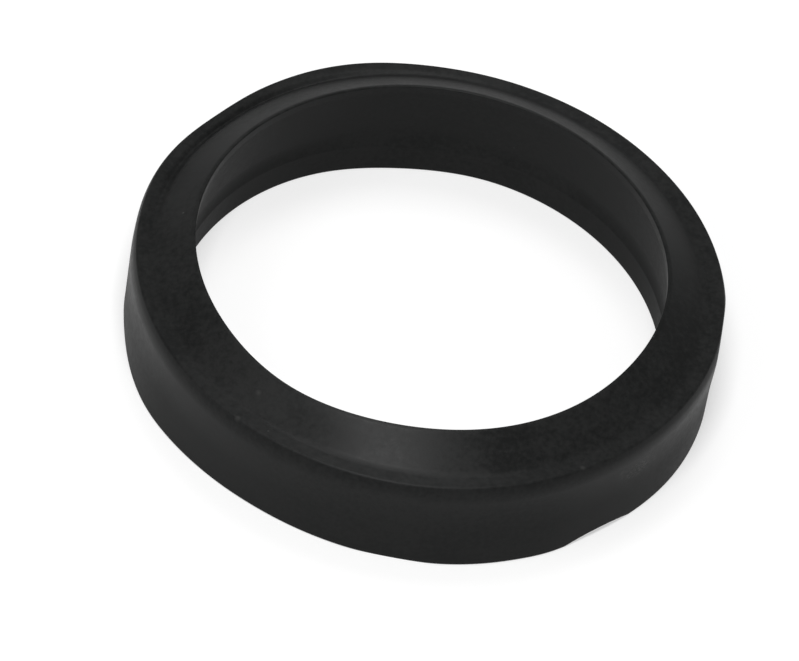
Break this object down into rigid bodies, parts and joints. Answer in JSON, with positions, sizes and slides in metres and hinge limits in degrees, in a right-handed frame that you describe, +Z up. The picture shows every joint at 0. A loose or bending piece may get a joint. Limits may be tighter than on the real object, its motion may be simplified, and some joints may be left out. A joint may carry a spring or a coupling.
{
  "type": "compression gasket",
  "caption": "Moulded black rubber compression gasket for a pipe joint: a ring with a conical sealing lip, flat ledge, straight outer wall, flat foot and a bore with a shallow cove above its heel.",
  "frame": {"origin": "centre of the ring's resting face", "axes": "+Z up along the ring's axis, from the foot to the sealing lip; -Y faces the picture's viewer"},
  "size_m": [0.15, 0.15, 0.0316],
  "materials": {
    "rubber": "matte moulded rubber with a faint sheen and light dust"
  },
  "bodies": {
    "root": {"gasket_ring": "rubber"}
  },
  "joints": []
}
